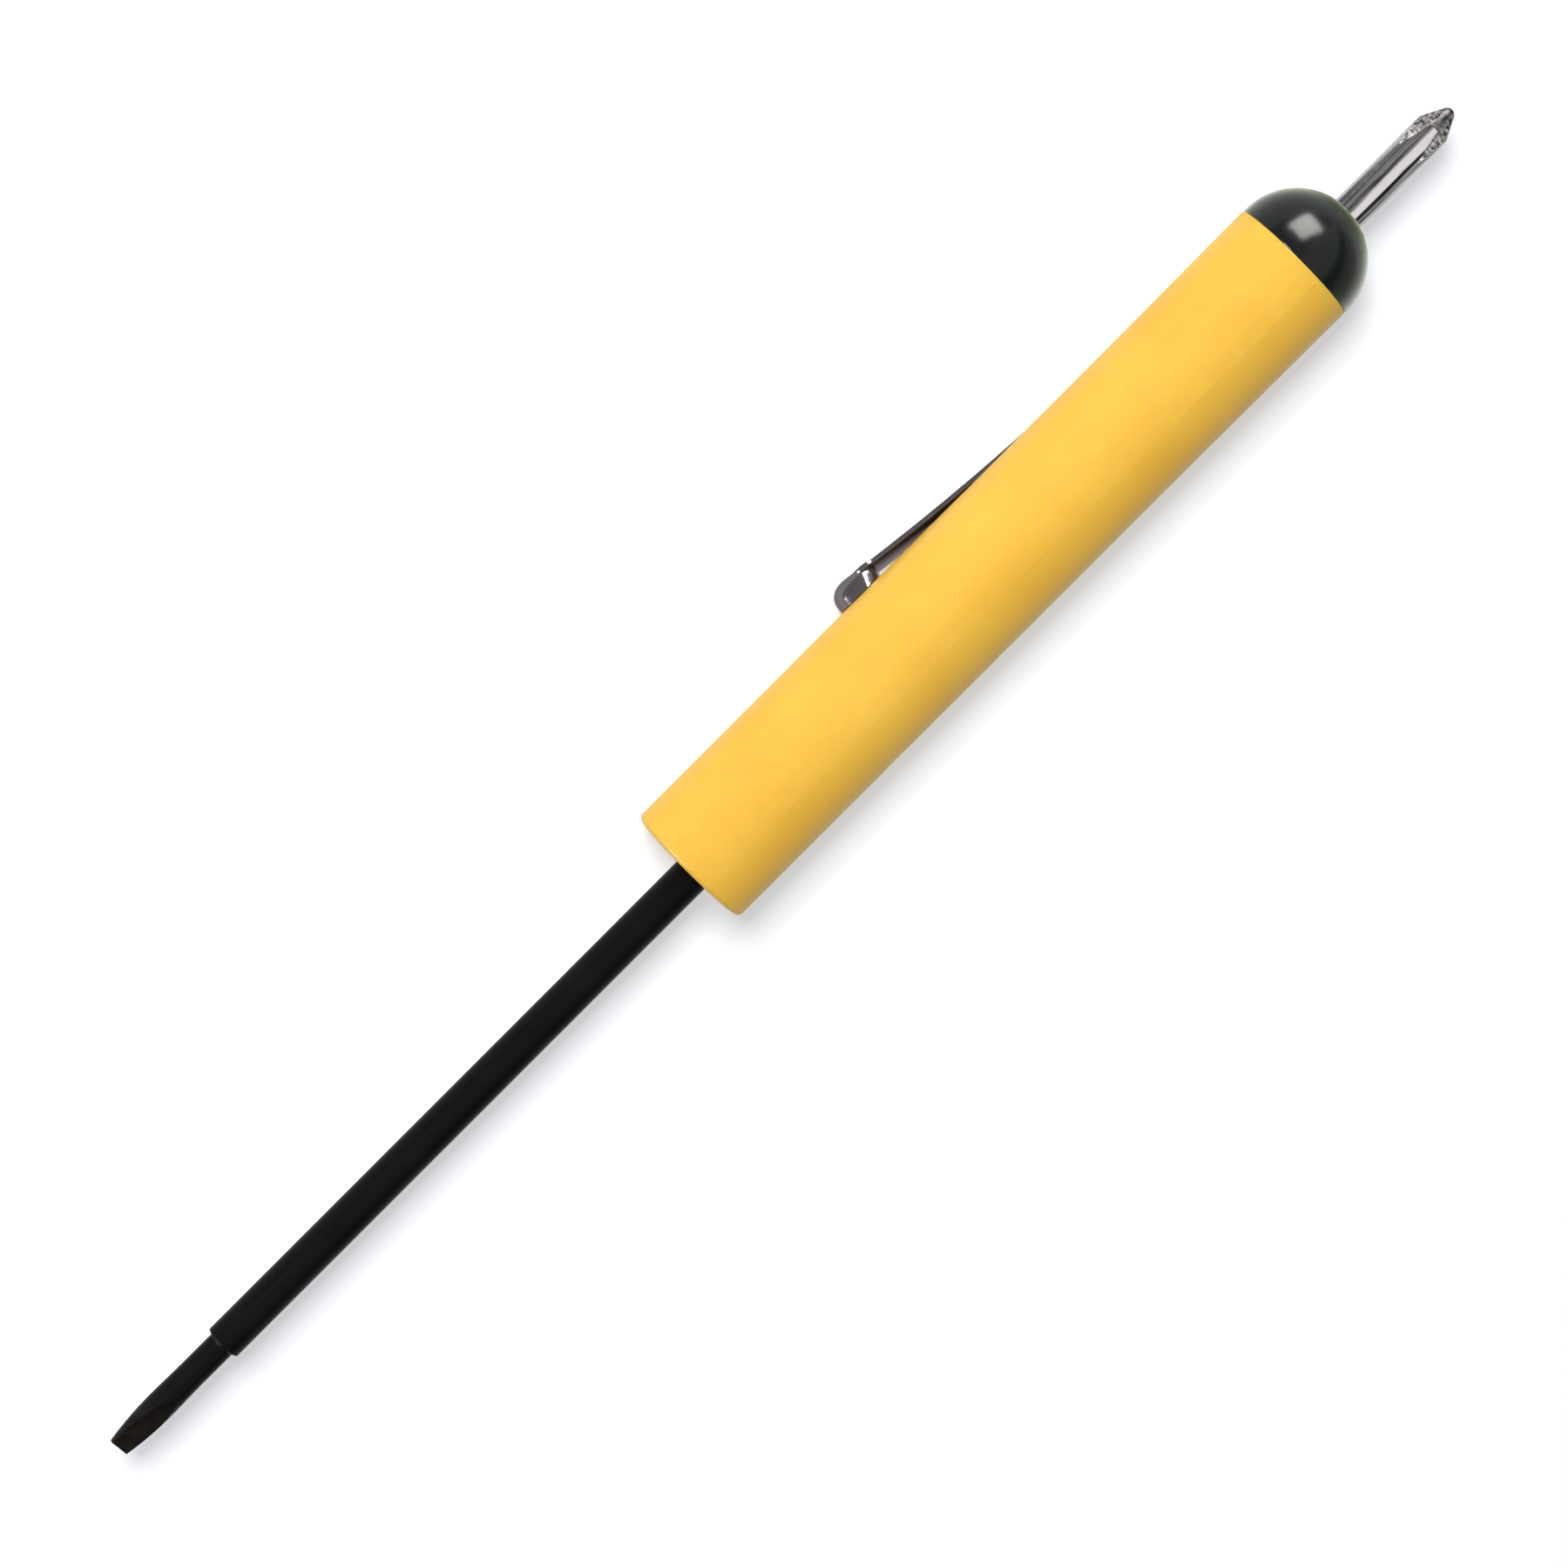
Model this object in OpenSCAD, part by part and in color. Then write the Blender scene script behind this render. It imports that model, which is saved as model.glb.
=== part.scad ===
// Two-ended pocket screwdriver: a moulded barrel with a flat blade in its nose, and a domed
// cap with a short cross-point bit at its other end. A spring clip with a bulb lies along it.
//
// Every piece is drawn along the barrel's axis: X = 0 at the nose, the flat tip on the +X side,
// and the clip straight up. lying() then turns the tool onto the table as it comes to rest, on
// its barrel and the edge of its clip, and puts the shaft's axis on the X axis.

/* [Barrel] */
// Length of the barrel, from the nose to the cap
barrel_length = 69; // [60:0.1:100]
// Diameter of the barrel's straight stretch
barrel_d = 11.45; // [9:0.05:15]
// How far the cap's plug spreads the wall at the top, on each side
barrel_flare = 0.07; // [0:0.01:0.2]
// Radius of the rounded edge round the nose
nose_round = 0.5; // [0.2:0.05:1.5]
// Radius of the rounded edges on both sides of the seam under the cap
seam_round = 0.12; // [0.05:0.01:0.3]
// Thickness of the wall round the core hole
barrel_wall = 2.45; // [2:0.05:2.8]
// Solid web between the blade's root and the core hole
core_web = 4; // [2:0.5:10]

/* [Flat blade] */
// Diameter of the round shaft
shaft_d = 3.175; // [2.8:0.005:4]
// Distance from the nose to the shaft's shoulder
shaft_reach = 54.2; // [30:0.1:100]
// How far the shaft sits off the barrel's axis, away from the clip
shaft_offset = 0.58; // [0:0.01:0.8]
// Length of the shaft's root inside the barrel
root_length = 22.6; // [16:0.1:26]
// Diameter of the neck between the shoulder and the tip
neck_d = 2.38; // [1.8:0.01:2.6]
// Length of the neck and the tip together
neck_length = 12.1; // [10:0.1:20]
// Radius of the fillet at the foot of the shoulder
shoulder_fillet = 0.25; // [0.1:0.01:0.35]

/* [Flat tip] */
// Width of the tip at its edge
tip_width = 1.8; // [1.4:0.02:2.1]
// Thickness of the tip at its edge
tip_thickness = 0.45; // [0.3:0.01:0.8]
// Widest diameter of the forged belly behind the edge
belly_d = 2.5; // [2.42:0.01:2.8]
// Distance from the edge to the widest place of the belly
belly_at = 4.6; // [2.5:0.1:5]
// Distance from the edge to where the belly has eased into the neck
belly_end = 9; // [6:0.1:10]
// Length of the two ground faces
grind_length = 5.8; // [4.5:0.1:7]
// How far the ground faces are turned from facing away from the clip
tip_turn = 47; // [0:1:90]

/* [Blade root] */
// Length of each swaged wing
wing_length = 7; // [4:0.5:9]
// Distance across the two wings
wing_span = 4.7; // [4.2:0.1:5.2]
// Thickness of the wings
wing_thickness = 0.9; // [0.6:0.1:1.4]
// Distance from the wings to the end of the root
wing_inset = 2; // [1:0.5:4]
// How far the ring groove that locks the root into the plastic starts in front of the nose
lock_front = 0.08; // [0.06:0.01:0.2]
// Width of the lock groove
lock_width = 1.2; // [0.8:0.1:2]
// Depth of the lock groove
lock_depth = 0.25; // [0.15:0.05:0.4]

/* [Clip] */
// Width of the spring strip
strip_width = 3.6; // [2.6:0.1:4.2]
// Thickness of the spring strip
strip_thickness = 0.38; // [0.25:0.01:0.5]
// Distance from the nose to the middle of the bulb
bulb_at = 25.5; // [18:0.5:32]
// Diameter of the bulb, seen from above the clip
bulb_d = 4.04; // [3:0.02:4.6]
// Radius of the bulb's rounded upper edge
bulb_edge = 1.3; // [0.8:0.05:1.4]
// Height of the bulb above the strip's outer face
bulb_rise = 0.2; // [0:0.01:0.3]
// Gap between the bulb and the barrel
bulb_gap = 0.1; // [0.05:0.01:0.3]
// Distance from the nose to the bend at the slot's mouth
bend_at = 44.3; // [40:0.1:48]
// Depth of the strip's outer face under the barrel's surface at the bend
bend_depth = 0.29; // [0.25:0.01:0.5]
// Slope of the tang and the slot along the barrel
slot_slope = 3.2; // [2.5:0.1:4]
// Radius of the arm's long bow away from the barrel
bow_r = 210; // [180:5:400]
// Length of the tang inside the slot
tang_length = 10; // [6:0.5:12]

/* [Cap] */
// Length of the plug inside the barrel
plug_length = 17.6; // [12:0.1:20]
// Clearance round the plug
plug_clearance = 0.02; // [0.01:0.01:0.08]
// Step from the barrel's edge in to the dome
dome_step = 0.03; // [0:0.01:0.1]
// Height of the cap's straight rim between the seam and the dome
cap_rim = 0.3; // [0.1:0.05:1]
// Width of each glue ring round the plug
glue_ring_width = 1.4; // [0.8:0.1:2]
// Depth of each glue ring
glue_ring_depth = 0.3; // [0.1:0.05:0.5]

/* [Cross bit] */
// Diameter of the bit's shank
bit_d = 3; // [2.6:0.05:3.2]
// Distance from the seam under the cap to the bit's point
bit_reach = 17.6; // [14:0.1:22]
// Whole length of the bit
bit_length = 25.4; // [22:0.1:28]
// How far the bit sits off the barrel's axis, away from the clip
bit_offset = 0.35; // [0:0.01:0.5]
// Half angle of the point, from the axis
point_angle = 27; // [24:1:32]
// Radius of the blunt end of the point
point_round = 0.6; // [0.3:0.05:0.6]
// Radius of the cutter that leaves each flute
flute_r = 14; // [10:0.5:20]
// Distance from the axis to the flutes at their deepest
flute_core = 0.38; // [0.2:0.01:0.5]
// How far past the point the flutes are deepest
flute_past = 0.4; // [0:0.1:1]
// Angle between the two walls of a flute
flute_angle = 92; // [86:1:100]
// How far the wings are turned from the clip
bit_turn = 13; // [0:1:45]
// Width of the retaining groove near the bit's root
groove_width = 1.5; // [0.8:0.1:2]
// Depth of the retaining groove
groove_depth = 0.35; // [0.1:0.05:0.5]

/* [Hidden] */

// Circle counts: round pieces, small rounds, and the arm's long bow
fn_round = 128;
fn_small = 48;
fn_bow = 2880;

// One overrun serves every cut
overrun = 1;

// Clearance of pieces that are moulded round one another
mould_clearance = 0.01;
// Clearances of the strip in its slot: above and below, at each side, and behind the tang
slot_clearance = 0.04;
slot_side = 0.12;
slot_end = 0.3;
// Running clearance between the arm's round root and the tang's hollow end
bend_clearance = 0.02;
// How far the strip's round end reaches past the bulb's middle, towards the slot
strip_end_in = 0.6;
// Side barbs of the tang
barb_length = 1.4;
barb_pitch = 3;
barb_first = 2.6;
barb_count = 2;
tang_chamfer = 0.8;
// Chamfers at the hidden ends of the two bars, and the rings' places on the plug
root_chamfer = 0.3;
glue_ring_first = 4;
glue_ring_pitch = 7;
groove_inset = 2.2;
// Rounding of the shaft's shoulder edge
shoulder_edge = 0.14;
// Steps along the outlines of the forged belly and of the small rounded ends and edges
belly_steps = 10;
point_steps = 6;

barrel_r = barrel_d / 2;
barrel_top_r = barrel_r + barrel_flare;
dome_r = barrel_top_r - dome_step;
core_r = barrel_r - barrel_wall;
core_start = root_length + core_web;
shaft_r = shaft_d / 2;
neck_r = neck_d / 2;
foot_r = min(shoulder_fillet, shaft_r - neck_r - shoulder_edge);
bit_r = bit_d / 2;
half_strip = strip_thickness / 2;

// Height of the strip's middle at the bend, above the barrel's axis
bend_z = barrel_r - bend_depth - half_strip;
// Slope and height of the strip's middle at a distance x from the nose
function bow_slope(x) = asin((bend_at - x) / bow_r + sin(slot_slope));
function bow_z(x) = bend_z + bow_r * (cos(slot_slope) - cos(bow_slope(x)));

// The tool rests on the barrel and on the outer edge of the strip where its round end begins
edge_at = bulb_at + strip_end_in + strip_width / 2;
edge_z = bow_z(edge_at) + half_strip;
edge_y = strip_width / 2;
rest_roll = 180 - atan(edge_y / edge_z) - acos(barrel_r / norm([edge_y, edge_z]));

// Turns a piece onto the table, with the shaft's axis on the X axis
module lying() {
    rotate([rest_roll, 0, 0])
        translate([0, 0, shaft_offset])
            children();
}

// Stands a piece's own Z axis along +X or, for the cap's end, along -X from the seam
module along_shaft() {
    translate([0, 0, -shaft_offset])
        rotate([0, 90, 0])
            children();
}

module along_cap() {
    translate([-barrel_length, 0, 0])
        rotate([0, -90, 0])
            children();
}

// Outline of a turned piece with its upper outer edge rounded, from the axis outwards
module rounded_top(radius, height, edge) {
    square([radius, height - edge]);
    translate([0, height - edge])
        square([radius - edge, edge]);
    intersection() {
        translate([radius - edge, height - edge])
            square(edge);
        translate([radius - edge, height - edge])
            circle(r = edge, $fn = fn_small);
    }
}

// Barrel

// The outside is turned so that its faces' seam points up once the tool lies on the table. A
// mesh made from it then has a flat, not an edge, where it touches the table.
module barrel_outside() {
    straight = barrel_length - plug_length;
    rotate([0, -90, 0])
        rotate_extrude($fn = fn_round)
            translate([0, straight])
                mirror([0, 1])
                    rounded_top(barrel_r, straight, nose_round);
    along_cap()
        rotate([180, 0, 0])
            rotate_extrude($fn = fn_round)
                difference() {
                    polygon([
                        [0, 0],
                        [barrel_top_r, 0],
                        [barrel_r, plug_length],
                        [0, plug_length]
                    ]);
                    translate([barrel_top_r - seam_round, 0])
                        difference() {
                            translate([0, -overrun])
                                square([overrun, seam_round + overrun]);
                            translate([0, seam_round])
                                circle(r = seam_round, $fn = fn_small);
                        }
                }
}

// Straight slot that holds the tang, and the open groove that runs out of it under the arm
module clip_slot() {
    slot_width = strip_width + 2 * slot_side;
    slot_height = strip_thickness + 2 * slot_clearance;
    groove_length = bend_at - bulb_at;
    translate([-bend_at, 0, bend_z])
        rotate([0, -slot_slope, 0])
            translate([0, -slot_width / 2, -slot_height / 2]) {
                translate([-tang_length - slot_end, 0, 0])
                    cube([tang_length + slot_end + groove_length, slot_width, slot_height]);
                cube([groove_length, slot_width, barrel_r]);
            }
}

module barrel() {
    color("gold")
        lying()
            difference() {
                rotate([-rest_roll, 0, 0])
                    barrel_outside();
                along_cap()
                    translate([0, 0, core_start - barrel_length])
                        cylinder(r = core_r, h = barrel_length - core_start + overrun, $fn = fn_round);
                along_shaft()
                    root_space();
                clip_slot();
            }
}

// Flat blade

// Outline of the root with its lock groove, grown by a clearance
function root_outline(clearance) =
    let (
        r = shaft_r + clearance,
        low = -root_length - clearance,
        groove_low = lock_front - lock_width + clearance,
        groove_high = lock_front - clearance
    )
    [
        [0, low],
        [r - root_chamfer, low],
        [r, low + root_chamfer],
        [r, groove_low],
        [r - lock_depth, groove_low],
        [r - lock_depth, groove_high],
        [r, groove_high]
    ];

// The two swaged wings that keep the root from turning, grown by a clearance
module wings(clearance) {
    taper = (wing_span - shaft_d) / 2;
    side = wing_span / 2 + clearance;
    low = wing_inset - root_length - clearance;
    high = low + wing_length + 2 * clearance;
    rotate([90, 0, 0])
        linear_extrude(height = wing_thickness + 2 * clearance, center = true)
            polygon([
                [taper - side, low],
                [side - taper, low],
                [side, low + taper],
                [side, high - taper],
                [side - taper, high],
                [taper - side, high],
                [-side, high - taper],
                [-side, low + taper]
            ]);
}

// The space that the barrel leaves for the root
module root_space() {
    rotate_extrude($fn = fn_round)
        polygon(concat(
            root_outline(mould_clearance),
            [[shaft_r + mould_clearance, overrun], [0, overrun]]
        ));
    wings(mould_clearance);
}

// Outline of the shaft's rounded shoulder edge
function shoulder_outline() = [
    for (k = [0 : point_steps])
        let (a = 90 * k / point_steps)
        [
            shaft_r - shoulder_edge * (1 - cos(a)),
            shaft_reach - shoulder_edge * (1 - sin(a))
        ]
];

// Radius of the forged end at a distance s from the edge: swells to the belly, then eases
// into the neck
function belly_r(s) =
    let (ease = (s - belly_at) / (belly_end - belly_at))
    s < belly_at
        ? tip_width / 2 + (belly_d - tip_width) / 2 * sin(90 * s / belly_at)
        : neck_r + (belly_d - neck_d) / 2 * (1 + cos(180 * ease)) / 2;

// Neck and forged end as turned, with the edge at Z = neck_length
module forged_end() {
    rotate_extrude($fn = fn_round)
        polygon(concat(
            [[0, neck_length]],
            [for (k = [0 : belly_steps])
                let (s = belly_end * k / belly_steps)
                [belly_r(s), neck_length - s]],
            [[neck_r, 0], [0, 0]]
        ));
}

// Side view of the two ground faces, which run from the edge out to the neck's own surface
module ground_wedge() {
    run = [neck_r - tip_thickness / 2, grind_length];
    reach = neck_length / grind_length;
    rotate([90, 0, 0])
        linear_extrude(height = belly_d * 2, center = true)
            polygon([
                [-tip_thickness / 2, neck_length],
                [tip_thickness / 2, neck_length],
                [tip_thickness / 2 + run[0] * reach, neck_length - run[1] * reach],
                [-tip_thickness / 2 - run[0] * reach, neck_length - run[1] * reach]
            ]);
}

module flat_blade() {
    color("dimgray")
        lying()
            along_shaft() {
                wings(0);
                rotate_extrude($fn = fn_round)
                    polygon(concat(root_outline(0), shoulder_outline(), [[0, shaft_reach]]));
                translate([0, 0, shaft_reach]) {
                    rotate([0, 0, tip_turn])
                        intersection() {
                            forged_end();
                            ground_wedge();
                        }
                    rotate_extrude($fn = fn_round)
                        difference() {
                            square([neck_r + foot_r, foot_r]);
                            translate([neck_r + foot_r, foot_r])
                                circle(r = foot_r, $fn = fn_small);
                        }
                }
            }
}

// Clip

// Side view of the arm: a thin bow from its round root at the bend to the bulb's middle
module arm_side() {
    sweep = bow_slope(bulb_at) - slot_slope;
    sector_r = bow_r + barrel_r;
    intersection() {
        translate([0, bow_r])
            difference() {
                circle(r = bow_r + half_strip, $fn = fn_bow);
                circle(r = bow_r - half_strip, $fn = fn_bow);
            }
        polygon([
            [0, bow_r],
            [0, bow_r - sector_r],
            [sector_r * sin(sweep), bow_r - sector_r * cos(sweep)]
        ]);
    }
    circle(r = half_strip, $fn = fn_small);
}

// Outline of the arm from above, with its round end inside the bulb
module arm_plan() {
    end_x = -bulb_at - strip_end_in - strip_width / 2;
    translate([-bend_at - strip_width, -strip_width / 2])
        square([end_x + bend_at + strip_width, strip_width]);
    translate([end_x, 0])
        circle(r = strip_width / 2, $fn = fn_small);
}

module bulb() {
    top = half_strip + bulb_rise;
    depth = bow_z(bulb_at) + top - barrel_r / 2;
    difference() {
        translate([-bulb_at, 0, bow_z(bulb_at)])
            rotate([0, -bow_slope(bulb_at), 0])
                translate([0, 0, top - depth])
                    rotate_extrude($fn = fn_round)
                        rounded_top(bulb_d / 2, depth, bulb_edge);
        rotate([0, -90, 0])
            cylinder(r = barrel_r + bulb_gap, h = barrel_length, $fn = fn_round);
    }
}

module pocket_clip() {
    color("silver")
        lying() {
            intersection() {
                translate([-bend_at, 0, bend_z])
                    rotate([90, -slot_slope, 0])
                        linear_extrude(height = strip_width, center = true)
                            arm_side();
                linear_extrude(height = barrel_d)
                    arm_plan();
            }
            bulb();
        }
}

// Outline of the tang from above, with chamfered end corners and barbs that bite backwards
module tang_plan() {
    half_width = strip_width / 2;
    edge = [
        [0, half_width],
        for (k = [0 : barb_count - 1], step = [[0, 0], [0, slot_side], [-barb_length, 0]])
            [-barb_first - k * barb_pitch, half_width] + step,
        [tang_chamfer - tang_length, half_width],
        [-tang_length, half_width - tang_chamfer]
    ];
    other_edge = [for (k = [len(edge) - 1 : -1 : 0]) [edge[k].x, -edge[k].y]];
    polygon(concat(edge, other_edge));
}

module clip_tang() {
    hollow_r = half_strip + bend_clearance;
    color("darkgray")
        lying()
            translate([-bend_at, 0, bend_z])
                rotate([0, -slot_slope, 0])
                    difference() {
                        translate([0, 0, -half_strip])
                            linear_extrude(height = strip_thickness)
                                tang_plan();
                        rotate([90, 0, 0])
                            cylinder(r = hollow_r, h = barrel_d, center = true, $fn = fn_small);
                    }
}

// Cap

module top_cap() {
    color("darkslategray")
        lying()
            along_cap()
                difference() {
                    union() {
                        rotate_extrude($fn = fn_round)
                            difference() {
                                union() {
                                    square([dome_r, cap_rim]);
                                    translate([0, cap_rim])
                                        intersection() {
                                            circle(r = dome_r, $fn = fn_round);
                                            square(dome_r);
                                        }
                                }
                                translate([dome_r, 0])
                                    rotate(45)
                                        square(seam_round, center = true);
                            }
                        plug();
                    }
                    translate([-bit_offset, 0, 0])
                        bit_space();
                }
}

module plug() {
    plug_r = core_r - plug_clearance;
    ring_r = plug_r - glue_ring_depth;
    difference() {
        rotate([180, 0, 0])
            rotate_extrude($fn = fn_round)
                rounded_top(plug_r, plug_length, seam_round);
        for (k = [0, 1])
            translate([0, 0, -glue_ring_first - k * glue_ring_pitch - glue_ring_width])
                difference() {
                    cylinder(r = plug_r + overrun, h = glue_ring_width, $fn = fn_round);
                    translate([0, 0, -overrun])
                        cylinder(r = ring_r, h = glue_ring_width + 2 * overrun, $fn = fn_round);
                }
    }
}

// Cross bit

// Outline of the bit's root with its retaining groove, grown by a clearance
function bit_root(clearance) =
    let (
        r = bit_r + clearance,
        low = bit_reach - bit_length - clearance,
        groove_low = bit_reach - bit_length + groove_inset + clearance,
        groove_high = groove_low + groove_width - 2 * clearance
    )
    [
        [0, low],
        [r - root_chamfer, low],
        [r, low + root_chamfer],
        [r, groove_low],
        [r - groove_depth, groove_low],
        [r - groove_depth, groove_high],
        [r, groove_high]
    ];

// The space that the cap leaves for the bit
module bit_space() {
    r = bit_r + mould_clearance;
    top = cap_rim + dome_r + overrun;
    rotate_extrude($fn = fn_round)
        polygon(concat(bit_root(mould_clearance), [[r, top], [0, top]]));
}

// The whole bit as turned: root, shank, and a cone with a blunt round end
module bit_blank() {
    round_z = bit_reach - point_round;
    round_end = [
        for (k = [0 : point_steps])
            let (a = point_angle + (90 - point_angle) * k / point_steps)
            [point_round * cos(a), round_z + point_round * sin(a)]
    ];
    cone_z = round_end[0].y - (bit_r - round_end[0].x) / tan(point_angle);
    rotate_extrude($fn = fn_round)
        polygon(concat(bit_root(0), [[bit_r, cone_z]], round_end));
}

// One flute, as a disc cutter with a V-shaped rim leaves it
module flute() {
    rim = bit_d;
    translate([flute_core + flute_r, 0, bit_reach + flute_past])
        rotate([90, 0, 0])
            rotate_extrude($fn = fn_round)
                polygon([
                    [flute_r, 0],
                    [flute_r - rim, rim * tan(flute_angle / 2)],
                    [flute_r - rim, -rim * tan(flute_angle / 2)]
                ]);
}

module cross_bit() {
    color("gainsboro")
        lying()
            along_cap()
                translate([-bit_offset, 0, 0])
                    rotate([0, 0, bit_turn])
                        difference() {
                            bit_blank();
                            for (k = [0 : 3])
                                rotate([0, 0, 45 + 90 * k])
                                    flute();
                        }
}

barrel();
flat_blade();
pocket_clip();
clip_tang();
top_cap();
cross_bit();
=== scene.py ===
import math

import bmesh
import bpy
from mathutils import Matrix, Vector


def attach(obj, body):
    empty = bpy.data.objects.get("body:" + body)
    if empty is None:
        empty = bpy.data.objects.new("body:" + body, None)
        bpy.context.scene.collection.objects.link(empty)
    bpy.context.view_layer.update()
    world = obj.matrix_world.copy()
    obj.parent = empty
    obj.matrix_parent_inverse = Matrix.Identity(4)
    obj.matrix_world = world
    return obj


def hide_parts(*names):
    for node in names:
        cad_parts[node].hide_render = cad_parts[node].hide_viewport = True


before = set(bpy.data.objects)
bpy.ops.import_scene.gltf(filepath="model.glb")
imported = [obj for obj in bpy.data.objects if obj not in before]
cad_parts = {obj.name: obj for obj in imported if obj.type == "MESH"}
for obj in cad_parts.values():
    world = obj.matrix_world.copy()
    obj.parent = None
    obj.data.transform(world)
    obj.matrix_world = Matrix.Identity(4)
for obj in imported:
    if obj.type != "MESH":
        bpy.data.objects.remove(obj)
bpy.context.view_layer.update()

MM = 0.001

# The camera, worked out from the photograph: where its foot falls on the barrel's axis, how far
# it is from it, and what point it looks at
BARREL_AXIS = Vector((0, -0.4572, -0.3568)) * MM
CAMERA_TILT = math.radians(24.6)
TOWARDS_CAMERA = Vector((0, -math.sin(CAMERA_TILT), math.cos(CAMERA_TILT)))
ACROSS = Vector((0, math.cos(CAMERA_TILT), math.sin(CAMERA_TILT)))
FOOT_X, DISTANCE = -28.2 * MM, 451 * MM
AIM_X, AIM_ACROSS = -10.26 * MM, 0.69 * MM
FIELD = math.radians(16.0)
SENSOR, NEAREST, FARTHEST = 36, 0.01, 20

# The floor's height, at which it touches the barrel, and half its size. Then its paint, and the
# glow that makes it white to the camera
FLOOR_Z, FLOOR_HALF = -6.153 * MM, 1.6
FLOOR_PAINT, FLOOR_GLOW = (0.785, 0.80, 0.835), 0.40

# The room's brightness, as reflections see it, against the angle across the tool, from the
# camera's side to the lower right of the picture
ROOM = [
    (-180, 0.10), (-66, 0.10), (-56, 0.34), (-4, 0.36), (4, 1.15), (50, 1.15), (57, 0.03), (74, 0.03),
    (80, 0.55), (180, 0.55),
]
# The even light that the room adds to every surface
ROOM_FILL = (0.275, 0.28, 0.29)

LAMP_DISTANCE, LAMP_TARGET = 0.9, Vector((-0.01, 0, 0))

# The cross bit's axis runs along X at this Y and Z
BIT_Y, BIT_Z = -0.181 * MM, -0.141 * MM
# How far from that axis the cap's haze round the bit begins to fade, and where it has gone
HAZE_FROM, HAZE_TO = 2.7 * MM, 4.2 * MM
# Where along the blade the tip's brown begins and is full
BROWN_FROM, BROWN_TO = 59.5 * MM, 64.5 * MM
# Dark reflection lines painted along the bit, where it faces given directions in the view: the
# direction in degrees, half the width of the dark middle and of the whole, and the strength
PAINTED_DARK_REFLECTIONS = ((-42, 6, 12, 0.85), (-44, 12, 30, 0.35), (-9, 1.5, 4, 0.6))

# How far the rounded normal leans from the flat one, where an edge's wear begins and is full
WEAR_FROM, WEAR_TO = 0.02, 0.35


def make_camera():
    """Adds the camera and gives the directions along the tool, across it and out of the picture."""
    position = BARREL_AXIS + Vector((FOOT_X, 0, 0)) + TOWARDS_CAMERA * DISTANCE
    aim = BARREL_AXIS + Vector((AIM_X, 0, 0)) + ACROSS * AIM_ACROSS
    back = (position - aim).normalized()
    along = Vector((-1, 0, 0))
    along = (along - back * along.dot(back)).normalized()
    across = along.cross(back)
    right, up = (along + across).normalized(), (along - across).normalized()
    rotation = Matrix((right, up, back)).transposed()
    data = bpy.data.cameras.new("camera")
    data.sensor_width = SENSOR
    data.angle = FIELD
    data.clip_start, data.clip_end = NEAREST, FARTHEST
    camera = bpy.data.objects.new("camera", data)
    bpy.context.scene.collection.objects.link(camera)
    camera.matrix_world = Matrix.Translation(position) @ rotation.to_4x4()
    bpy.context.scene.camera = camera
    return along, across, back


ALONG, ACROSS_VIEW, BACK = make_camera()


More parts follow.
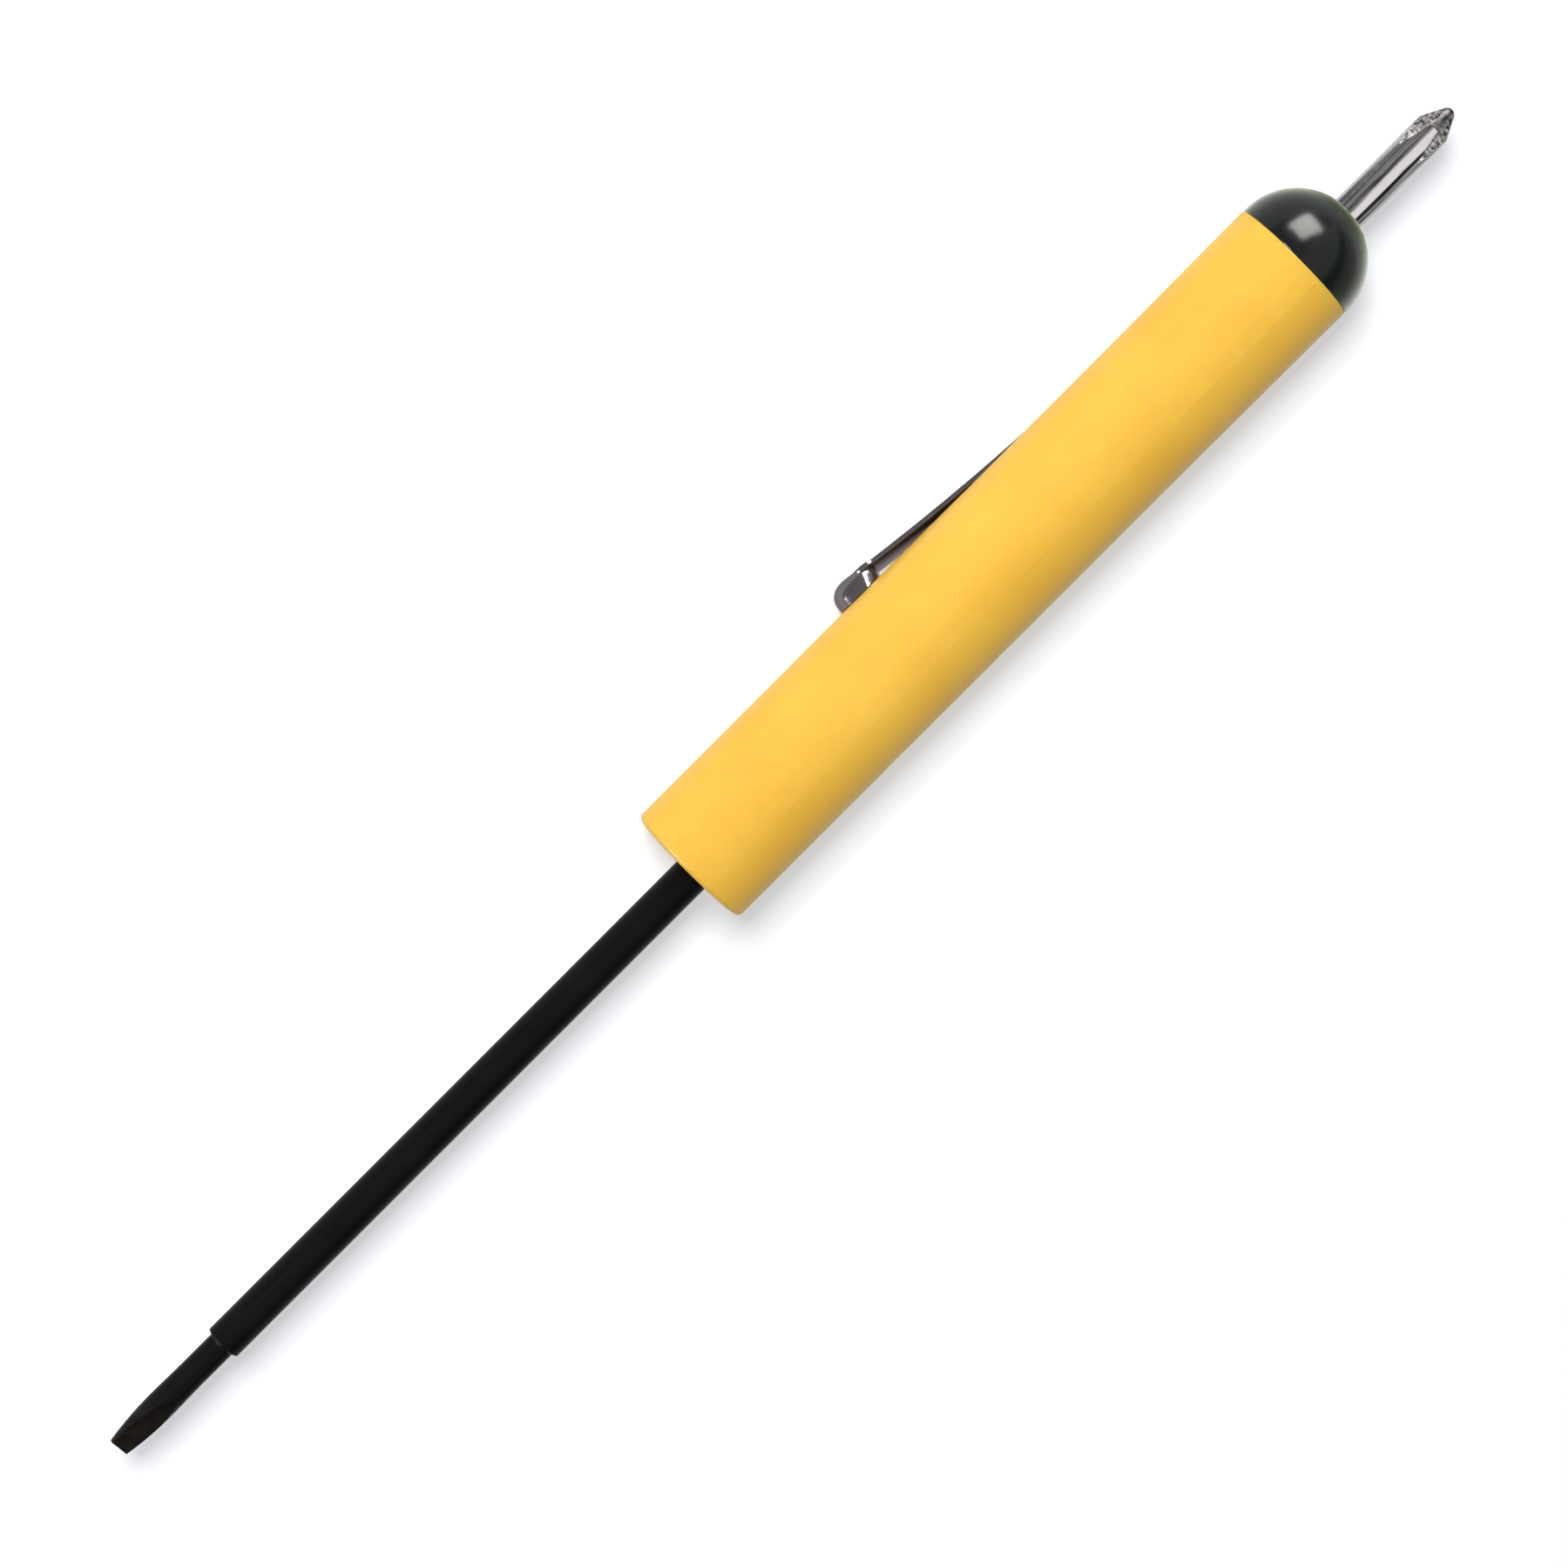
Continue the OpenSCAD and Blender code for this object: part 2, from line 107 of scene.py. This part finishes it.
class Nodes:
    """A material's or a world's node tree, with short ways to add and join nodes."""

    def __init__(self, owner):
        owner.use_nodes = True
        self.tree = owner.node_tree
        self.tree.nodes.clear()

    def add(self, kind, **settings):
        node = self.tree.nodes.new(kind)
        for name, value in settings.items():
            setattr(node, name, value)
        return node

    def join(self, source, target):
        self.tree.links.new(source, target)

    def put(self, socket, value):
        """Joins an output to the socket, or sets the socket to a plain value."""
        if isinstance(value, bpy.types.NodeSocket):
            self.join(value, socket)
        else:
            socket.default_value = value

    def maths(self, operation, a, b=0.0):
        node = self.add("ShaderNodeMath", operation=operation)
        self.put(node.inputs[0], a)
        self.put(node.inputs[1], b)
        return node.outputs[0]

    def weighted(self, a, share_a, b, share_b):
        return self.maths("ADD", self.maths("MULTIPLY", a, share_a), self.maths("MULTIPLY", b, share_b))

    def dot(self, a, b):
        node = self.add("ShaderNodeVectorMath", operation="DOT_PRODUCT")
        self.put(node.inputs[0], a)
        self.put(node.inputs[1], b)
        return node.outputs["Value"]

    def split(self, vector):
        """The X, Y and Z of a vector."""
        node = self.add("ShaderNodeSeparateXYZ")
        self.join(vector, node.inputs[0])
        return tuple(node.outputs)

    def coords(self, scale=(1, 1, 1)):
        mapping = self.add("ShaderNodeMapping")
        self.join(self.add("ShaderNodeTexCoord").outputs["Object"], mapping.inputs["Vector"])
        mapping.inputs["Scale"].default_value = scale
        return mapping.outputs[0]

    def from_bit(self):
        """The place across the cross bit's axis, as Y and Z."""
        place = self.split(self.coords())
        return self.maths("SUBTRACT", place[1], BIT_Y), self.maths("SUBTRACT", place[2], BIT_Z)

    def noise(self, vector, scale, detail=3.0, roughness=0.55):
        node = self.add("ShaderNodeTexNoise")
        self.join(vector, node.inputs["Vector"])
        node.inputs["Scale"].default_value = scale
        node.inputs["Detail"].default_value = detail
        node.inputs["Roughness"].default_value = roughness
        return node.outputs["Fac"]

    def ramp(self, value, stops):
        node = self.add("ShaderNodeValToRGB")
        self.join(value, node.inputs[0])
        elements = node.color_ramp.elements
        while len(elements) < len(stops):
            elements.new(0.5)
        for element, (place, color) in zip(elements, stops):
            element.position = place
            element.color = (*color, 1)
        return node.outputs[0]

    def span(self, value, low, high, out_low, out_high):
        """Carries low to high over to out_low to out_high, and stops at both ends."""
        node = self.add("ShaderNodeMapRange")
        self.put(node.inputs["Value"], value)
        node.inputs["From Min"].default_value = low
        node.inputs["From Max"].default_value = high
        node.inputs["To Min"].default_value = out_low
        node.inputs["To Max"].default_value = out_high
        return node.outputs[0]

    def mix(self, share, a, b):
        node = self.add("ShaderNodeMix", data_type="RGBA")
        self.put(node.inputs["Factor"], share)
        self.put(node.inputs["A"], (*a, 1) if isinstance(a, tuple) else a)
        self.put(node.inputs["B"], (*b, 1) if isinstance(b, tuple) else b)
        return node.outputs["Result"]

    def bump(self, height, strength, distance):
        node = self.add("ShaderNodeBump")
        self.put(node.inputs["Height"], height)
        node.inputs["Strength"].default_value = strength
        node.inputs["Distance"].default_value = distance
        return node.outputs[0]

    def true_normal(self):
        return self.add("ShaderNodeNewGeometry").outputs["True Normal"]

    def worn(self, color, radius, share, bare):
        """The colour with its sharp edges rubbed towards a barer one."""
        bevel = self.add("ShaderNodeBevel", samples=6)
        bevel.inputs["Radius"].default_value = radius
        plain = self.add("ShaderNodeNewGeometry").outputs["Normal"]
        bend = self.maths("SUBTRACT", 1.0, self.dot(bevel.outputs[0], plain))
        edge = self.span(bend, WEAR_FROM, WEAR_TO, 0.0, 1.0)
        return self.mix(self.maths("MULTIPLY", edge, share), color, bare)

    def surface(self, **inputs):
        shader = self.add("ShaderNodeBsdfPrincipled")
        for name, value in inputs.items():
            socket = shader.inputs[name.replace("_", " ")]
            if isinstance(value, tuple) and len(value) == 3 and socket.type == "RGBA":
                value = (*value, 1)
            self.put(socket, value)
        out = self.add("ShaderNodeOutputMaterial")
        self.join(shader.outputs[0], out.inputs["Surface"])

    def seen_directly(self):
        """1 for what the camera sees, also through glass or in a mirror, and 0 for bounced light."""
        path = self.add("ShaderNodeLightPath")
        seen = self.maths("MAXIMUM", path.outputs["Is Camera Ray"], path.outputs["Is Glossy Ray"])
        return self.maths("MAXIMUM", seen, path.outputs["Is Transmission Ray"])


def material(name):
    made = bpy.data.materials.new(name)
    return made, Nodes(made)


def barrel_plastic():
    """Yellow moulded plastic with faint flow lines along the barrel."""
    made, n = material("yellow_plastic")
    cloud = n.noise(n.coords(), 130, 3)
    flow = n.noise(n.coords(scale=(0.12, 1, 1)), 700, 4, 0.6)
    fine = n.noise(n.coords(), 5200, 2, 0.6)
    tone = n.weighted(cloud, 0.7, flow, 0.3)
    color = n.ramp(tone, [(0.32, (0.90, 0.51, 0.058)), (0.68, (0.96, 0.575, 0.078))])
    n.surface(
        Base_Color=n.worn(color, 0.15 * MM, 0.35, (0.96, 0.70, 0.22)),
        Roughness=n.span(flow, 0.3, 0.7, 0.36, 0.46), IOR=1.47, Specular_IOR_Level=0.2,
        Subsurface_Weight=0.25, Subsurface_Scale=1.2 * MM, Subsurface_Radius=(1.0, 0.5, 0.15),
        Normal=n.bump(n.weighted(fine, 0.5, flow, 0.5), 0.12, 0.03 * MM),
    )
    return made


def black_steel():
    """Black oxide over drawn bar, a little brown and patchy at the tip."""
    made, n = material("black_oxide_steel")
    lines = n.noise(n.coords(scale=(0.04, 1, 1)), 5200, 3, 0.6)
    cloud = n.noise(n.coords(), 260, 4)
    color = n.ramp(cloud, [(0.3, (0.0020, 0.0014, 0.0028)), (0.7, (0.0038, 0.0028, 0.0042))])
    tip = n.span(n.split(n.coords())[0], BROWN_FROM, BROWN_TO, 0.0, 1.0)
    patch = n.span(n.noise(n.coords(), 900, 3), 0.35, 0.65, 0.25, 1.0)
    color = n.mix(n.maths("MULTIPLY", tip, patch), color, (0.017, 0.012, 0.008))
    n.surface(
        Base_Color=n.worn(color, 0.06 * MM, 0.5, (0.10, 0.085, 0.075)),
        Roughness=n.span(lines, 0.3, 0.7, 0.36, 0.50), IOR=1.5, Specular_IOR_Level=0.065,
        Normal=n.bump(lines, 0.10, 0.01 * MM),
    )
    return made


def clip_plating():
    """Plated spring strip, toned down to the dark room that it mirrors in the photograph."""
    made, n = material("clip_plate")
    tint, dull_share = (0.158, 0.140, 0.152), 0.82
    lines = n.noise(n.coords(scale=(0.05, 1, 1)), 4200, 3, 0.6)
    cloud = n.span(n.noise(n.coords(), 420, 3), 0.35, 0.7, 0.0, 1.0)
    color = n.mix(cloud, tint, tuple(v * dull_share for v in tint))
    n.surface(
        Base_Color=n.worn(color, 0.05 * MM, 0.4, (0.9, 0.88, 0.85)),
        Roughness=n.span(lines, 0.3, 0.7, 0.08, 0.16), Metallic=0.7, Specular_Tint=(0.38, 0.33, 0.37),
        Normal=n.bump(lines, 0.10, 0.01 * MM),
    )
    return made


def bit_plating():
    """Plated shank with lengthwise polishing streaks, painted dark reflection lines, rough milled flutes
    and a worn point.
    """
    made, n = material("bit_plate")
    streaks = n.noise(n.coords(scale=(0.035, 1, 1)), 2600, 4, 0.65)
    lines = n.noise(n.coords(scale=(0.035, 1, 1)), 6000, 3, 0.6)
    marks = n.noise(n.coords(scale=(1.0, 0.8, 0.8)), 2900, 4, 0.7)
    y, z = n.from_bit()
    radial = n.add("ShaderNodeCombineXYZ")
    n.join(y, radial.inputs[1])
    n.join(z, radial.inputs[2])
    unit = n.add("ShaderNodeVectorMath", operation="NORMALIZE")
    n.join(radial.outputs[0], unit.inputs[0])
    outward = unit.outputs[0]

    color = n.mix(n.span(streaks, 0.40, 0.53, 1.0, 0.0), (0.61, 0.585, 0.585), (0.13, 0.12, 0.13))
    # Painted reflections: the shank is darkened where it faces these directions in the view
    for degrees, inner, outer, strength in PAINTED_DARK_REFLECTIONS:
        around = math.radians(degrees)
        aim = ACROSS_VIEW * math.sin(around) + BACK * math.cos(around)
        far, near = math.cos(math.radians(outer)), math.cos(math.radians(inner))
        painted_reflection = n.span(n.dot(outward, aim), far, near, 0.0, strength)
        painted_reflection = n.maths("MULTIPLY", painted_reflection, n.span(marks, 0.35, 0.55, 0.35 + strength / 2, 1.0))
        color = n.mix(painted_reflection, color, (0.07, 0.065, 0.07))

    # The flutes are where the surface doesn't face straight out, and the point's cone where it
    # faces along the bit
    milled = n.span(n.dot(outward, n.true_normal()), 0.992, 0.975, 0.0, 1.0)
    milled_color = n.ramp(
        marks, [(0.38, (0.02, 0.018, 0.02)), (0.50, (0.15, 0.14, 0.145)), (0.64, (0.42, 0.40, 0.40))]
    )
    color = n.mix(milled, color, milled_color)
    lengthwise = n.maths("ABSOLUTE", n.split(n.true_normal())[0])
    cone = n.span(lengthwise, 0.34, 0.42, 0.0, 1.0)
    cone_color = n.ramp(marks, [(0.40, (0.012, 0.011, 0.012)), (0.62, (0.07, 0.066, 0.066))])
    color = n.mix(cone, color, cone_color)

    rough = n.maths("ADD", n.span(lines, 0.3, 0.7, 0.06, 0.12), n.weighted(milled, 0.20, cone, 0.15))
    height = n.weighted(lines, 0.25, n.maths("MULTIPLY", marks, milled), 1.6)
    n.surface(
        Base_Color=n.worn(color, 0.05 * MM, 0.4, (0.85, 0.83, 0.80)),
        Roughness=rough, Metallic=1.0, Specular_Tint=(0.75, 0.73, 0.73),
        Normal=n.bump(height, 0.35, 0.015 * MM),
    )
    return made


def cap_plastic():
    """Glossy black plastic with an olive sheen at its rim as a painted reflection, hazy and without shine
    close to the bit.
    """
    made, n = material("black_cap_plastic")
    fine = n.noise(n.coords(), 2600, 3)
    cloud = n.noise(n.coords(), 200, 3)
    color = n.ramp(cloud, [(0.3, (0.0045, 0.0068, 0.0064)), (0.7, (0.0065, 0.0092, 0.0088))])
    y, z = n.from_bit()
    off = n.maths("SQRT", n.maths("ADD", n.maths("MULTIPLY", y, y), n.maths("MULTIPLY", z, z)))
    haze = n.span(off, HAZE_FROM, HAZE_TO, 0.42, 0.0)
    n.surface(
        Base_Color=n.worn(color, 0.08 * MM, 0.4, (0.05, 0.05, 0.05)),
        Roughness=n.maths("ADD", n.span(fine, 0.3, 0.7, 0.17, 0.23), haze), IOR=1.5,
        Specular_IOR_Level=n.span(off, HAZE_FROM, HAZE_TO, 0.0, 0.20),
        # The olive sheen is a painted reflection at the rim
        Sheen_Weight=0.80, Sheen_Roughness=0.35, Sheen_Tint=(0.85, 0.95, 0.65),
        Normal=n.bump(fine, 0.05, 0.01 * MM),
    )
    return made


def dress(node, made):
    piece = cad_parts[node]
    piece.data.materials.clear()
    piece.data.materials.append(made)


clip_plate = clip_plating()
dress("barrel", barrel_plastic())
dress("flat_blade", black_steel())
dress("clip_tang", clip_plate)
dress("cross_bit", bit_plating())


# The clip's arm and bulb and the cap follow in mm, in the barrel's own frame: X towards the
# nose, Y across the clip's strip and Z out from the barrel's axis. Places along the clip are
# distances from the nose
CLIP_ROLL, CLIP_LIFT = math.radians(127.967429), 0.58

# The strip is bent out of the barrel's slot at BEND_AT and bows from there on
BEND_AT, BEND_Z, BEND_SLOPE, BOW_R = 44.3, 5.245, math.radians(3.2), 210.0
STRIP_HALF, STRIP_SIDE, STRIP_CORNER, CORNER_MOST_SHARE = 0.19, 1.8, 0.07, 0.9
CORNER_SIGNS = ((1, 1), (-1, 1), (-1, -1), (1, -1))
CORNER_STEPS, ROOT_STEPS, STRIP_STEPS = 4, 5, 96
ROOT_THIN, ROOT_INSET = 0.004, 0.02
STRIP_END = 26.0
# The strip spreads and lifts a little before the bulb, then narrows to sink into it
SPREAD_AT, SPREAD_OVER, SPREAD_SIDE, SPREAD_LIFT = 28.2, 0.8, 0.17, 0.045
SINK_AT, SINK_OVER, SINK_SIDE = 27.1, 1.1, 0.42
WAVE_SIDE, WAVE_TURNS = 0.0032, 1.9

# The bulb is round at its free end and square, longer and sharper where it grows out of the arm
BULB_AT, BULB_R, BULB_FLOOR_R = 25.5, 2.02, 5.825
BULB_SIDES, BULB_TOP_STEPS, BULB_EDGE_STEPS, BULB_DROP_STEPS, BULB_FOOT_STEPS = 96, 8, 10, 8, 8
ROUND_POWER, SQUARE_POWER, SQUARE_REACH = 2, 1.2, 0.38
BULB_EDGE, SQUARE_EDGE = 1.28, 0.55
BULB_CROWN, BULB_TOP, SQUARE_TOP, BULB_LEAN = 0.17, 0.20, 0.13, 0.40
DROP_STEP, DROP_LIMIT = 0.002, 3
# Where round the bulb, as the cosine from the arm's side, it turns square and its side leans
SQUARE_FROM, SQUARE_TO, LEAN_FROM, LEAN_TO = -0.25, 0.75, 0.2, 1.0

# The cap: its dome over a short straight rim, the bit's hole with its rounded lip, and its plug
BARREL_LENGTH, DOME_R, CAP_RIM, BIT_MIDDLE = 69.0, 5.765, 0.3, -0.35
HOLE_R, LIP, LIP_STEPS, HOLE_DEPTHS = 1.51, 0.07, 4, (3.0, 1.0, 0.4, 0.2, 0.13)
CAP_SIDES, DOME_STEPS = 160, 56
PLUG_R, GROOVE_R, GROOVES, PLUG_LENGTH = 3.255, 2.955, ((4.0, 5.4), (11.0, 12.4)), 17.6
# How far inside the rim's radius, and how high over the seam, its edge is rounded
RIM_EDGE = ((0, 0.20), (0, 0.085), (0.02, 0.04), (0.06, 0.0))
# How far inside the plug's radius, and how far short of its end, its edge is rounded
PLUG_EDGE = ((0, 0.12), (0.03, 0.03), (0.12, 0))

# Edges sharper than this stay sharp to the eye
SHARP = math.radians(50)


def smooth(value, low, high):
    t = min(max((value - low) / (high - low), 0.0), 1.0)
    return t * t * (3 - 2 * t)


def bow(at):
    """Height of the strip's middle and its slope, this far from the nose."""
    slope = math.asin((BEND_AT - at) / BOW_R + math.sin(BEND_SLOPE))
    return BEND_Z + BOW_R * (math.cos(BEND_SLOPE) - math.cos(slope)), slope


def strip_ring(at, along, height, side, lift):
    """Rounded cross-section of the strip, moved along it by `along`, `height` half thick."""
    z, slope = bow(at)
    forward = Vector((math.cos(slope), 0, math.sin(slope)))
    out = Vector((-math.sin(slope), 0, math.cos(slope)))
    corner = min(STRIP_CORNER, height * CORNER_MOST_SHARE)
    ring = []
    for quarter, (y_sign, z_sign) in enumerate(CORNER_SIGNS):
        for step in range(CORNER_STEPS):
            turn = math.radians(90 * (quarter + step / (CORNER_STEPS - 1)))
            y = y_sign * (side - corner) + corner * math.cos(turn)
            h = z_sign * (height - corner) + corner * math.sin(turn) + lift
            ring.append(Vector((-at, y, z)) + forward * along + out * h)
    return ring


def strip_rings():
    """The strip from its round root in the tang to its end, sunk into the bulb."""
    rings = []
    for step in range(ROOT_STEPS):
        turn = math.radians(90 * (1 - step / (ROOT_STEPS - 1)))
        height = max(STRIP_HALF * math.cos(turn), ROOT_THIN)
        rings.append(strip_ring(BEND_AT, -STRIP_HALF * math.sin(turn), height, STRIP_SIDE - ROOT_INSET, 0))
    for step in range(1, STRIP_STEPS + 1):
        at = BEND_AT + (STRIP_END - BEND_AT) * step / STRIP_STEPS
        spread = smooth(SPREAD_AT - at, 0, SPREAD_OVER)
        sunk = smooth(SINK_AT - at, 0, SINK_OVER)
        wave = WAVE_SIDE * math.sin(at * WAVE_TURNS)
        side = STRIP_SIDE + SPREAD_SIDE * spread - SINK_SIDE * sunk + wave
        rings.append(strip_ring(at, 0, STRIP_HALF, side, SPREAD_LIFT * spread))
    return rings


def bulb_line(turn):
    """One line of the bulb, from the middle of its top over its shoulder, down and back in."""
    z, slope = bow(BULB_AT)
    origin = Vector((-BULB_AT, 0, z))
    back_along = Vector((-math.cos(slope), 0, -math.sin(slope)))
    out = Vector((-math.sin(slope), 0, math.cos(slope)))
    c, w = math.cos(turn), math.sin(turn)
    square = smooth(c, SQUARE_FROM, SQUARE_TO)
    power, reach = ROUND_POWER + SQUARE_POWER * square, BULB_R + SQUARE_REACH * square
    radius = (abs(c / reach) ** power + abs(w / BULB_R) ** power) ** (-1 / power)
    edge = BULB_EDGE - SQUARE_EDGE * square
    crown, top = STRIP_HALF + BULB_CROWN, STRIP_HALF + BULB_TOP - SQUARE_TOP * square
    flat = back_along * c + Vector((0, w, 0))
    line = []
    for step in range(1, BULB_TOP_STEPS + 1):
        share = step / BULB_TOP_STEPS
        line.append(origin + flat * (radius - edge) * share + out * (crown + (top - crown) * share ** 2))
    for step in range(1, BULB_EDGE_STEPS + 1):
        bend = math.radians(90 * step / BULB_EDGE_STEPS)
        wide, high = radius - edge + edge * math.sin(bend), top - edge + edge * math.cos(bend)
        line.append(origin + flat * wide + out * high)
    foot = line[-1]
    lean = back_along * (-BULB_LEAN * smooth(c, LEAN_FROM, LEAN_TO)) - out
    drop = 0.0
    while math.hypot(*(foot + lean * drop).yz) > BULB_FLOOR_R and drop < DROP_LIMIT:
        drop += DROP_STEP
    for step in range(1, BULB_DROP_STEPS + 1):
        line.append(foot + lean * drop * step / BULB_DROP_STEPS)
    last = line[-1].copy()
    for step in range(1, BULB_FOOT_STEPS):
        share = 1 - step / BULB_FOOT_STEPS
        x, y = -BULB_AT + (last.x + BULB_AT) * share, last.y * share
        line.append(Vector((x, y, math.sqrt(BULB_FLOOR_R ** 2 - y * y))))
    return line


def bulb_rings():
    """The bulb as rings, with the middle points of its top and of its foot."""
    lines = [bulb_line(2 * math.pi * side / BULB_SIDES) for side in range(BULB_SIDES)]
    z, slope = bow(BULB_AT)
    out = Vector((-math.sin(slope), 0, math.cos(slope)))
    top = Vector((-BULB_AT, 0, z)) + out * (STRIP_HALF + BULB_CROWN)
    return top, [list(ring) for ring in zip(*lines)], Vector((-BULB_AT, 0, BULB_FLOOR_R))


def add_rings(mesh, rings, first=None, last=None):
    """Skins a row of rings, closed at each end by a fan to a point or by one face."""
    made = [[mesh.verts.new(point) for point in ring] for ring in rings]
    for one, two in zip(made, made[1:]):
        for k in range(len(one)):
            j = (k + 1) % len(one)
            mesh.faces.new((one[k], one[j], two[j], two[k]))
    for ring, point in ((made[0], first), (made[-1], last)):
        if point is None:
            mesh.faces.new(ring)
            continue
        tip = mesh.verts.new(point)
        for k in range(len(ring)):
            mesh.faces.new((ring[k], ring[(k + 1) % len(ring)], tip))


def put_piece(shape, name, made, node, body):
    """Turns a shape given in the barrel's own frame into a piece that stands for a CAD node."""
    bmesh.ops.recalc_face_normals(shape, faces=shape.faces)
    place = Matrix.Rotation(CLIP_ROLL, 4, "X") @ Matrix.Translation((0, 0, CLIP_LIFT))
    bmesh.ops.transform(shape, matrix=Matrix.Scale(MM, 4) @ place, verts=shape.verts)
    mesh = bpy.data.meshes.new(name)
    shape.to_mesh(mesh)
    shape.free()
    mesh.shade_smooth()
    mesh.set_sharp_from_angle(angle=SHARP)
    piece = bpy.data.objects.new(name, mesh)
    bpy.context.scene.collection.objects.link(piece)
    mesh.materials.append(made)
    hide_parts(node)
    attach(piece, body)


def make_clip_arm():
    shape = bmesh.new()
    add_rings(shape, strip_rings())
    top, rings, foot = bulb_rings()
    add_rings(shape, rings, top, foot)
    put_piece(shape, "clip_arm", clip_plate, "pocket_clip", "clip")


def cap_ring(radius, height=None, middle=0.0):
    """A circle of points; `height` is out from the seam, or None for the dome's own surface."""
    points = []
    for side in range(CAP_SIDES):
        turn = 2 * math.pi * side / CAP_SIDES
        y, z = radius * math.sin(turn), middle + radius * math.cos(turn)
        up = height
        if up is None:
            up = CAP_RIM + math.sqrt(max(DOME_R ** 2 - y * y - z * z, 0))
        points.append(Vector((-BARREL_LENGTH - up, y, z)))
    return points


def make_cap():
    """The cap as turned: a dome with a round-edged hole for the bit, its rim, and its ringed plug."""
    mouth = HOLE_R + LIP
    top = CAP_RIM + math.sqrt(DOME_R ** 2 - mouth ** 2)
    rings = [cap_ring(HOLE_R, top - depth, BIT_MIDDLE) for depth in HOLE_DEPTHS]
    for step in range(1, LIP_STEPS + 1):
        bend = math.radians(90 * step / LIP_STEPS)
        rings.append(cap_ring(HOLE_R + LIP * (1 - math.cos(bend)), None, BIT_MIDDLE))
        for point in rings[-1]:
            point.x += LIP * (1 - math.sin(bend))
    for step in range(1, DOME_STEPS + 1):
        share = math.sin(math.pi / 2 * step / DOME_STEPS)
        rings.append(cap_ring(mouth + (DOME_R - mouth) * share, None, BIT_MIDDLE * (1 - share)))
    turned = [(DOME_R - inside, height) for inside, height in RIM_EDGE]
    turned.append((PLUG_R, 0.0))
    for start, end in GROOVES:
        turned += [(PLUG_R, -start), (GROOVE_R, -start), (GROOVE_R, -end), (PLUG_R, -end)]
    turned += [(PLUG_R - inside, short - PLUG_LENGTH) for inside, short in PLUG_EDGE]
    rings += [cap_ring(radius, height) for radius, height in turned]
    shape = bmesh.new()
    add_rings(shape, rings)
    put_piece(shape, "cap", cap_plastic(), "top_cap", "handle")


make_clip_arm()
make_cap()


# The stage, in metres again


def make_floor():
    """A pale floor that the camera sees as pure white, apart from the tool's shadow."""
    half = FLOOR_HALF
    mesh = bpy.data.meshes.new("floor")
    corners = [(-half, -half), (half, -half), (half, half), (-half, half)]
    mesh.from_pydata([(x, y, FLOOR_Z) for x, y in corners], [], [(0, 1, 2, 3)])
    mesh.update()
    floor = bpy.data.objects.new("floor", mesh)
    bpy.context.scene.collection.objects.link(floor)
    made, n = material("floor_white")
    paint = n.add("ShaderNodeBsdfDiffuse")
    paint.inputs["Color"].default_value = (*FLOOR_PAINT, 1)
    glow = n.add("ShaderNodeEmission")
    glow.inputs["Strength"].default_value = FLOOR_GLOW
    both = n.add("ShaderNodeAddShader")
    n.join(paint.outputs[0], both.inputs[0])
    n.join(glow.outputs[0], both.inputs[1])
    mixer = n.add("ShaderNodeMixShader")
    n.join(n.seen_directly(), mixer.inputs[0])
    n.join(paint.outputs[0], mixer.inputs[1])
    n.join(both.outputs[0], mixer.inputs[2])
    out = n.add("ShaderNodeOutputMaterial")
    n.join(mixer.outputs[0], out.inputs["Surface"])
    floor.data.materials.append(made)


def make_world():
    """A dim room with long soft panels, which run along the tool and show only as reflections."""
    world = bpy.data.worlds.new("world")
    bpy.context.scene.world = world
    n = Nodes(world)
    direction = n.add("ShaderNodeTexCoord").outputs["Generated"]
    turn = n.maths("ARCTAN2", n.dot(direction, ACROSS_VIEW), n.dot(direction, BACK))
    place = n.span(turn, -math.pi, math.pi, 0.0, 1.0)
    stops = [(round(0.5 + degrees / 360, 4), (level, level, level)) for degrees, level in ROOM]
    room = n.add("ShaderNodeBackground")
    n.join(n.mix(n.seen_directly(), ROOM_FILL, n.ramp(place, stops)), room.inputs["Color"])
    out = n.add("ShaderNodeOutputWorld")
    n.join(room.outputs[0], out.inputs["Surface"])


def area_light(name, toward, width, height, power, color=(1, 1, 1)):
    """A lamp in a direction given in the picture: along the tool, across it and out."""
    along, across, back = toward
    direction = (ALONG * along + ACROSS_VIEW * across + BACK * back).normalized()
    data = bpy.data.lights.new(name, "AREA")
    data.shape = "RECTANGLE"
    data.size, data.size_y = width, height
    data.energy = power
    data.color = color
    lamp = bpy.data.objects.new(name, data)
    bpy.context.scene.collection.objects.link(lamp)
    lamp.location = LAMP_TARGET + direction * LAMP_DISTANCE
    side = (ALONG - direction * ALONG.dot(direction)).normalized()
    turn = Matrix((side, direction.cross(side), direction)).transposed()
    lamp.rotation_mode = "QUATERNION"
    lamp.rotation_quaternion = turn.to_quaternion()
    return lamp


def make_lamps():
    """Two lamps that light the tool unseen, and two that show only as reflections on it."""
    key = area_light("key", (0.10, -0.20, 0.97), 0.25, 0.25, 6.2, (0.995, 1.0, 1.0))
    side = area_light("side", (0.0, -0.96, 0.30), 0.8, 0.8, 2.2)
    softbox = area_light("softbox", (0.70, -0.40, 0.60), 0.60, 0.52, 23.0, (1.0, 1.0, 0.93))
    spark = area_light("spark", (-0.84, -0.34, 0.42), 0.12, 0.10, 16.0)
    for lamp in (key, side):
        lamp.visible_glossy = False
    for lamp in (softbox, spark):
        lamp.visible_diffuse = False


make_floor()
make_world()
make_lamps()

bpy.context.scene.view_settings.view_transform = "Standard"
